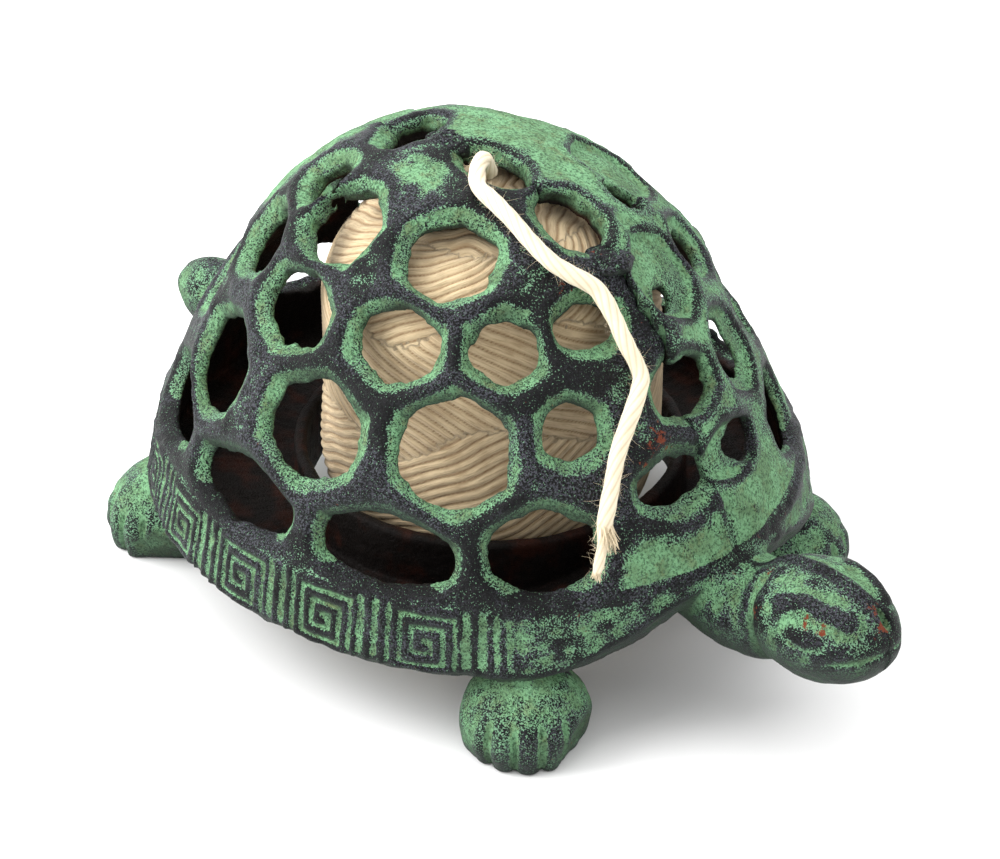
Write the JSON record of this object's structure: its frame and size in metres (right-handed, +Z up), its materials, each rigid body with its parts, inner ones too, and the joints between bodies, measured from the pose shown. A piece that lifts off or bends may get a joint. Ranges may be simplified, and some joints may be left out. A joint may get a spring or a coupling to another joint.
{
  "type": "turtle flower frog used as a twine holder",
  "caption": "Cast-iron turtle with a hollow openwork shell, for holding flower stems, standing over a ball of cotton twine whose end comes out at the crown.",
  "frame": {"origin": "under the middle of the turtle's box, on the plane the four feet stand on", "axes": "+X towards the turtle's head, +Y to its left, +Z up"},
  "size_m": [0.1934, 0.1256, 0.0972],
  "materials": {
    "verdigris_iron": "verdigris-green painted patina worn to charcoal iron on the ridges, matte",
    "dark_iron": "dark rusty iron, matte",
    "twine": "twisted natural cotton twine"
  },
  "bodies": {
    "ball": {"twine_ball": "twine"},
    "turtle": {"right_shell": "verdigris_iron", "right_rim_band": "verdigris_iron", "right_belly_floor": "dark_iron", "right_collar": "dark_iron", "right_head": "verdigris_iron", "right_foreleg": "verdigris_iron", "right_hindleg": "verdigris_iron", "right_tail": "verdigris_iron", "left_shell": "verdigris_iron", "left_rim_band": "verdigris_iron", "left_belly_floor": "dark_iron", "left_collar": "dark_iron", "left_head": "verdigris_iron", "left_foreleg": "verdigris_iron", "left_hindleg": "verdigris_iron", "left_tail": "verdigris_iron", "crown_seam_tack": "dark_iron", "front_seam_tack": "dark_iron", "twine_loose_end": "twine"}
  },
  "joints": [
    {"name": "turtle_lift", "type": "slide", "parent": "ball", "child": "turtle", "axis": [0, 0, 1], "range_m": [0, 0.095]}
  ]
}
